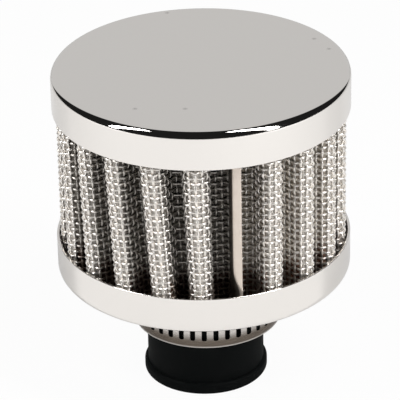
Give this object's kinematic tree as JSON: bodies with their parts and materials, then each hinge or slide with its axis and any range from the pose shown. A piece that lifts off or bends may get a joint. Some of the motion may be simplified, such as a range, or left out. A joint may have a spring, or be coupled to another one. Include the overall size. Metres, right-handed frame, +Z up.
{
  "type": "clamp-on breather air filter",
  "caption": "Small cylindrical breather air filter with a pleated wire-screen element between a chrome cap and cup, a rubber neck and a worm-drive hose clamp.",
  "frame": {"origin": "centre of the neck's open end, on the filter's axis", "axes": "+Z up the filter's axis towards the cap; -Y is the side the picture shows; the clamp's screw is at the back"},
  "size_m": [0.0762, 0.0762, 0.0871],
  "materials": {
    "chrome": "bright plated",
    "potting": "satin",
    "screen_wire": "drawn wire",
    "gauze": "oiled cotton",
    "seam_metal": "satin",
    "neck_rubber": "moulded",
    "clamp_steel": "rolled strip",
    "screw_steel": "plated"
  },
  "bodies": {
    "filter": {"top_cap": "chrome", "bottom_cup": "chrome", "upper_potting": "potting", "lower_potting": "potting", "outer_screen": "screen_wire", "pleated_media": "gauze", "inner_screen": "screen_wire", "seam_clip": "seam_metal", "rubber_neck": "neck_rubber", "clamp_band": "clamp_steel", "clamp_housing": "clamp_steel"},
    "worm_screw": {"clamp_screw": "screw_steel"}
  },
  "joints": [
    {"name": "worm_turn", "type": "hinge", "parent": "filter", "child": "worm_screw", "pos_m": [0.00453, 0.0265, 0.02045], "axis": [0.9857, -0.1685, 0], "continuous": true}
  ]
}
